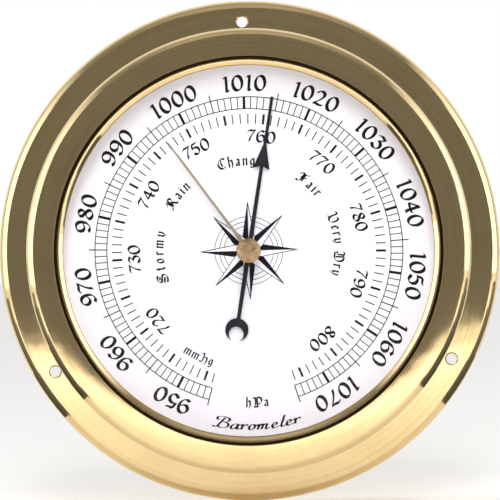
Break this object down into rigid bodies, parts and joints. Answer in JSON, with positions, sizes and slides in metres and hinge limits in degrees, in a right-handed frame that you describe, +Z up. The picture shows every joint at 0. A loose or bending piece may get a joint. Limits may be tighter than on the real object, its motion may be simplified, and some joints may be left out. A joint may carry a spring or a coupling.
{
  "type": "aneroid barometer",
  "caption": "Round brass wall barometer with a flanged case, glazed dial, black pressure pointer, brass set hand and knob, and an aneroid capsule movement inside.",
  "frame": {"origin": "centre of the flange's back face, on the dial's axis, where the barometer meets the wall", "axes": "-Y is the way the dial faces, +Z is up the dial and +X is to the right as seen from the front"},
  "size_m": [0.145, 0.0465, 0.145],
  "materials": {
    "case_brass": "polished",
    "dull_brass": "satin",
    "plate_brass": "satin",
    "bronze": "satin",
    "steel": "satin",
    "blued_steel": "polished",
    "pointer_black": "satin",
    "dial_white": "satin",
    "ring_metal": "satin",
    "glass": "polished",
    "gasket_rubber": "matte",
    "fibre": "matte"
  },
  "bodies": {
    "case": {"case_body": "case_brass", "bezel": "case_brass", "glass": "glass", "glass_gasket": "gasket_rubber", "glass_spacer": "ring_metal", "dial_plate": "dial_white", "rear_cover": "case_brass", "cover_screws": "case_brass", "dial_pillars": "plate_brass", "dial_pillar_screws": "plate_brass", "base_plate": "plate_brass", "base_screws": "plate_brass", "frame_pillars": "plate_brass", "lower_plate": "plate_brass", "plate_spacers": "plate_brass", "upper_plate": "plate_brass", "plate_screws": "steel", "arbor_bushes": "plate_brass", "rocker_post_upper": "plate_brass", "rocker_post_lower": "plate_brass", "capsule_rear": "bronze", "capsule_front": "bronze", "capsule_stud": "plate_brass", "capsule_spring": "steel", "hairspring": "blued_steel", "hairspring_stud": "plate_brass", "glass_bush": "dull_brass", "glass_nut": "dull_brass", "glass_washer": "fibre", "set_spring_washer": "steel"},
    "capsule_top": {"capsule_boss": "plate_brass"},
    "rocker": {"rocking_shaft": "steel", "capsule_arm": "plate_brass", "link_arm": "plate_brass"},
    "link": {"link_rod": "steel"},
    "sector": {"sector_arbor": "steel", "sector_gear": "plate_brass", "sector_pin": "steel"},
    "pointer_staff": {"pointer_arbor": "steel", "pinion": "steel", "hairspring_collet": "plate_brass", "pointer_bush": "plate_brass", "pointer": "pointer_black"},
    "set_marker": {"set_arbor": "dull_brass", "set_hand": "dull_brass", "set_knob": "dull_brass"},
    "calibrator": {"calibration_screw": "plate_brass"}
  },
  "joints": [
    {"name": "pointer_turn", "type": "hinge", "parent": "case", "child": "pointer_staff", "pos_m": [0, -0.033, 0], "axis": [0, 1, 0], "range_deg": [-173.65, 152.65], "deforming": ["hairspring"]},
    {"name": "sector_swing", "type": "hinge", "parent": "case", "child": "sector", "pos_m": [0, -0.025, -0.0243], "axis": [0, 1, 0], "range_deg": [-19.5, 22.1]},
    {"name": "rocker_tilt", "type": "hinge", "parent": "case", "child": "rocker", "pos_m": [-0.016, -0.02, 0], "axis": [0, 0, 1], "range_deg": [-14, 12.5]},
    {"name": "link_swing", "type": "hinge", "parent": "rocker", "child": "link", "pos_m": [-0.016, -0.0266, -0.02835], "axis": [0, 0, 1], "range_deg": [-12.5, 14]},
    {"name": "capsule_slide", "type": "slide", "parent": "case", "child": "capsule_top", "axis": [0, 1, 0], "range_m": [-0.0006, 0.0006], "deforming": ["capsule_front"]},
    {"name": "set_hand_turn", "type": "hinge", "parent": "case", "child": "set_marker", "pos_m": [0, -0.038, 0], "axis": [0, 1, 0], "continuous": true},
    {"name": "calibration_turn", "type": "hinge", "parent": "case", "child": "calibrator", "pos_m": [-0.0136, -0.006, -0.002], "axis": [0, 1, 0], "range_deg": [-360, 360]}
  ],
  "couplings": [
    {"joint": "sector_swing", "follows": "pointer_turn", "ratio": -0.125},
    {"joint": "rocker_tilt", "follows": "pointer_turn", "ratio": 0.07875},
    {"joint": "link_swing", "follows": "pointer_turn", "ratio": -0.07875},
    {"joint": "capsule_slide", "follows": "pointer_turn", "m_per_rad": 0.000189}
  ]
}
